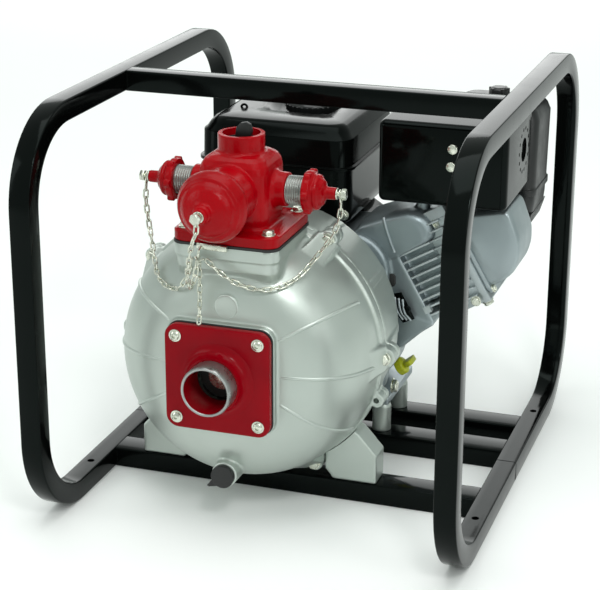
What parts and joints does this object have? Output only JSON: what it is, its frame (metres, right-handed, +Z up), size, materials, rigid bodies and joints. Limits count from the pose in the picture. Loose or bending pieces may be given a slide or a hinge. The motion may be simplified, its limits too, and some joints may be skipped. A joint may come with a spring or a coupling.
{
  "type": "portable fire pump",
  "caption": "Engine-driven centrifugal fire pump in a tubular carrying frame, with a flanged suction inlet and a capped multi-outlet discharge manifold.",
  "frame": {"origin": "on the ground, under the middle of the carrying frame", "axes": "+Z up; -Y towards the suction inlet, along the pump and crankshaft axis; +X towards the cylinder and muffler side"},
  "size_m": [0.517, 0.647, 0.498],
  "materials": {
    "black_paint": "gloss black paint",
    "red_paint": "thick gloss red enamel over rough cast iron",
    "cast_aluminium": "satin cast",
    "engine_aluminium": "satin die cast",
    "pipe_steel": "machined pipe steel",
    "cast_iron": "rough cast",
    "zinc": "bright zinc plate",
    "black_rubber": "matte rubber",
    "black_plastic": "fine-textured moulded plastic",
    "gloss_black_plastic": "gloss moulded plastic",
    "yellow_plastic": "moulded plastic",
    "foam": "open foam"
  },
  "bodies": {
    "root": {"left_loop": "black_paint", "right_loop": "black_paint", "top_crossbar": "black_paint", "front_rail": "black_paint", "middle_rail": "black_paint", "rear_rail": "black_paint", "blower_housing": "black_paint", "recoil_housing": "black_paint", "muffler_guard": "black_paint", "fuel_tank": "black_paint", "suction_flange": "red_paint", "discharge_manifold": "red_paint", "pump_casing": "cast_aluminium", "rear_bracket": "cast_aluminium", "front_left_post": "cast_aluminium", "rear_left_post": "cast_aluminium", "front_right_post": "cast_aluminium", "rear_right_post": "cast_aluminium", "crankcase_cover": "engine_aluminium", "cylinder_block": "engine_aluminium", "cylinder_head": "engine_aluminium", "valve_cover": "engine_aluminium", "piston": "engine_aluminium", "connecting_rod": "engine_aluminium", "carburettor": "engine_aluminium", "suction_nipple": "pipe_steel", "left_nipple": "pipe_steel", "right_nipple": "pipe_steel", "mechanical_seal": "pipe_steel", "muffler": "pipe_steel", "volute": "cast_iron", "chain_hook": "zinc", "left_chain": "zinc", "right_chain": "zinc", "front_chain": "zinc", "spare_chain": "zinc", "casing_seal": "black_rubber", "suction_gasket": "black_rubber", "discharge_gasket": "black_rubber", "air_cleaner_base": "black_plastic", "air_filter": "foam"},
    "rotor": {"crankshaft": "pipe_steel", "impeller": "cast_iron", "flywheel": "cast_iron"},
    "check_valve": {"check_valve_flap": "black_rubber"},
    "drain_plug": {"drain_plug": "black_plastic"},
    "neck_plug": {"neck_plug": "black_plastic"},
    "front_cap_screw": {"front_cap_bolt": "zinc"},
    "front_cap": {"front_cap": "red_paint"},
    "left_cap_screw": {"left_cap_bolt": "zinc"},
    "left_cap": {"left_cap": "red_paint"},
    "right_cap_screw": {"right_cap_bolt": "zinc"},
    "right_cap": {"right_cap": "red_paint"},
    "fuel_cap": {"fuel_cap": "gloss_black_plastic"},
    "dipstick": {"dipstick": "yellow_plastic"},
    "air_cleaner_cover": {"air_cleaner_cover": "black_plastic"},
    "air_cleaner_knob": {"air_cleaner_knob": "black_plastic"},
    "recoil_grip": {"recoil_grip": "black_rubber"},
    "choke_lever": {"choke_lever": "black_plastic"},
    "throttle_lever": {"throttle_lever": "black_plastic"}
  },
  "joints": [
    {"name": "rotor_spin", "type": "hinge", "parent": "root", "child": "rotor", "pos_m": [-0.0416, 0, 0.193], "axis": [0, 1, 0], "continuous": true},
    {"name": "check_valve_swing", "type": "hinge", "parent": "root", "child": "check_valve", "pos_m": [-0.0416, -0.236, 0.218], "axis": [1, 0, 0], "range_deg": [0, 55]},
    {"name": "drain_plug_pull", "type": "slide", "parent": "root", "child": "drain_plug", "axis": [0, -1, 0], "range_m": [0, 0.03]},
    {"name": "neck_plug_lift", "type": "slide", "parent": "root", "child": "neck_plug", "axis": [0, 0, 1], "range_m": [0, 0.03]},
    {"name": "front_cap_travel", "type": "slide", "parent": "root", "child": "front_cap_screw", "axis": [0, -1, 0], "range_m": [0, 0.0142]},
    {"name": "front_cap_turn", "type": "hinge", "parent": "front_cap_screw", "child": "front_cap", "pos_m": [-0.0416, -0.27, 0.402], "axis": [0, -1, 0], "range_deg": [0, 2280]},
    {"name": "left_cap_travel", "type": "slide", "parent": "root", "child": "left_cap_screw", "axis": [-1, 0, 0], "range_m": [0, 0.0142]},
    {"name": "left_cap_turn", "type": "hinge", "parent": "left_cap_screw", "child": "left_cap", "pos_m": [-0.1316, -0.166, 0.402], "axis": [-1, 0, 0], "range_deg": [0, 2280]},
    {"name": "right_cap_travel", "type": "slide", "parent": "root", "child": "right_cap_screw", "axis": [1, 0, 0], "range_m": [0, 0.0142]},
    {"name": "right_cap_turn", "type": "hinge", "parent": "right_cap_screw", "child": "right_cap", "pos_m": [0.0484, -0.166, 0.402], "axis": [1, 0, 0], "range_deg": [0, 2280]},
    {"name": "fuel_cap_turn", "type": "hinge", "parent": "root", "child": "fuel_cap", "pos_m": [-0.054, 0.13, 0.43], "axis": [0, 0, 1], "range_deg": [0, 90]},
    {"name": "dipstick_pull", "type": "slide", "parent": "root", "child": "dipstick", "axis": [0.8192, 0, 0.5736], "range_m": [0, 0.03]},
    {"name": "air_cleaner_cover_lift", "type": "slide", "parent": "root", "child": "air_cleaner_cover", "axis": [0, 0, 1], "range_m": [0, 0.03]},
    {"name": "air_cleaner_knob_turn", "type": "hinge", "parent": "air_cleaner_cover", "child": "air_cleaner_knob", "pos_m": [0.176, 0.196, 0.445], "axis": [0, 0, 1], "continuous": true},
    {"name": "recoil_pull", "type": "slide", "parent": "root", "child": "recoil_grip", "axis": [0, 1, 0], "range_m": [0, 0.6], "stiffness_N_per_m": 12, "springref_m": -0.5},
    {"name": "choke_swing", "type": "hinge", "parent": "root", "child": "choke_lever", "pos_m": [0.18, 0.134, 0.272], "axis": [0, 1, 0], "range_deg": [-40, 0]},
    {"name": "throttle_swing", "type": "hinge", "parent": "root", "child": "throttle_lever", "pos_m": [0.18, 0.126, 0.256], "axis": [0, 1, 0], "range_deg": [0, 35]}
  ],
  "couplings": [
    {"joint": "front_cap_travel", "follows": "front_cap_turn", "m_per_rad": 0.00035152},
    {"joint": "left_cap_travel", "follows": "left_cap_turn", "m_per_rad": 0.00035152},
    {"joint": "right_cap_travel", "follows": "right_cap_turn", "m_per_rad": 0.00035152}
  ]
}
